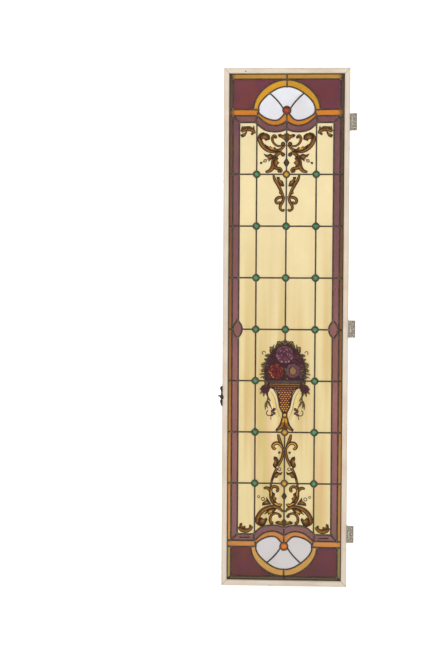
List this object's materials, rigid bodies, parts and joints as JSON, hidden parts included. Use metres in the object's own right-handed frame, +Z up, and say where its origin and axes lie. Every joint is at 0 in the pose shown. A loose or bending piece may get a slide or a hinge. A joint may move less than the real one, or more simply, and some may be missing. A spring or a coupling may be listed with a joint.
{
  "type": "stained glass window",
  "caption": "Tall narrow leaded stained glass casement leaf in a painted wood frame, with butt hinges on one edge and a latch plate on the other.",
  "frame": {"origin": "on the face of the middle loose hinge leaf that is screwed to the jamb, between the pin and its middle screw hole", "axes": "+Z up, the leaf's painted front faces -Y, the hinges are on its +X edge and the latch on its -X edge"},
  "size_m": [0.5068, 0.0397, 1.92],
  "materials": {
    "painted_wood": "old cream oil paint, satin, a little worn at the edges",
    "lead": "dull dark patinated lead came with soldered joints",
    "cream_glass": "finely hammered cream cathedral glass with faint upright streaks",
    "purple_glass": "smooth mauve cathedral glass, mottled",
    "amber_glass": "smooth amber cathedral glass",
    "maroon_glass": "hammered dark red glass, mottled",
    "opal_glass": "white opalescent glass",
    "green_glass": "moulded green roundel, glossy",
    "painted_glass": "fired brown line and wash over coloured glass",
    "steel": "worn plated steel, dull",
    "bronze": "dark brown cast bronze"
  },
  "bodies": {
    "jamb_hinge_leaves": {"hinge_jamb_leaf_bottom": "steel", "hinge_jamb_leaf_middle": "steel", "hinge_jamb_leaf_top": "steel"},
    "casement": {"amber_border_bottom": "amber_glass", "amber_border_top": "amber_glass", "basket_glass": "painted_glass", "cream_pane_row1_column1": "cream_glass", "cream_pane_row1_column2": "cream_glass", "cream_pane_row1_column3": "cream_glass", "cream_pane_row1_column4": "cream_glass", "cream_pane_row2_column1": "cream_glass", "cream_pane_row2_column2": "cream_glass", "cream_pane_row2_column3": "cream_glass", "cream_pane_row2_column4": "cream_glass", "cream_pane_row3_column1": "cream_glass", "cream_pane_row3_column2": "cream_glass", "cream_pane_row3_column3": "cream_glass", "cream_pane_row3_column4": "cream_glass", "cream_pane_row4_column1": "cream_glass", "cream_pane_row4_column2": "cream_glass", "cream_pane_row4_column3": "cream_glass", "cream_pane_row4_column4": "cream_glass", "cream_pane_row5_column1": "cream_glass", "cream_pane_row5_column2": "cream_glass", "cream_pane_row5_column3": "cream_glass", "cream_pane_row5_column4": "cream_glass", "cream_pane_row6_column1": "cream_glass", "cream_pane_row6_column2": "cream_glass", "cream_pane_row6_column3": "cream_glass", "cream_pane_row6_column4": "cream_glass", "cream_pane_row7_column1": "cream_glass", "cream_pane_row7_column2": "cream_glass", "cream_pane_row7_column3": "cream_glass", "cream_pane_row7_column4": "cream_glass", "cream_pane_row8_column1": "cream_glass", "cream_pane_row8_column2": "cream_glass", "cream_pane_row8_column3": "cream_glass", "cream_pane_row8_column4": "cream_glass", "flower_glass": "painted_glass", "hinge_stile_leaf_bottom": "steel", "hinge_stile_leaf_middle": "steel", "hinge_stile_leaf_top": "steel", "latch_plate": "bronze", "latch_stub": "steel", "leadwork": "lead", "maroon_pane_bottom_left": "maroon_glass", "maroon_pane_bottom_right": "maroon_glass", "maroon_pane_top_left": "maroon_glass", "maroon_pane_top_right": "maroon_glass", "opal_fan_bottom": "opal_glass", "opal_fan_top": "opal_glass", "purple_almond_left": "purple_glass", "purple_almond_right": "purple_glass", "purple_band_bottom": "purple_glass", "purple_band_top": "purple_glass", "rail_bottom": "painted_wood", "rail_top": "painted_wood", "stile_hinge_side": "painted_wood", "stile_latch_side": "painted_wood"}
  },
  "joints": [
    {"name": "casement_swing", "type": "hinge", "parent": "jamb_hinge_leaves", "child": "casement", "pos_m": [-0.0075, 0.0032, 0], "axis": [0, 0, 1], "range_deg": [-90, 90]}
  ]
}
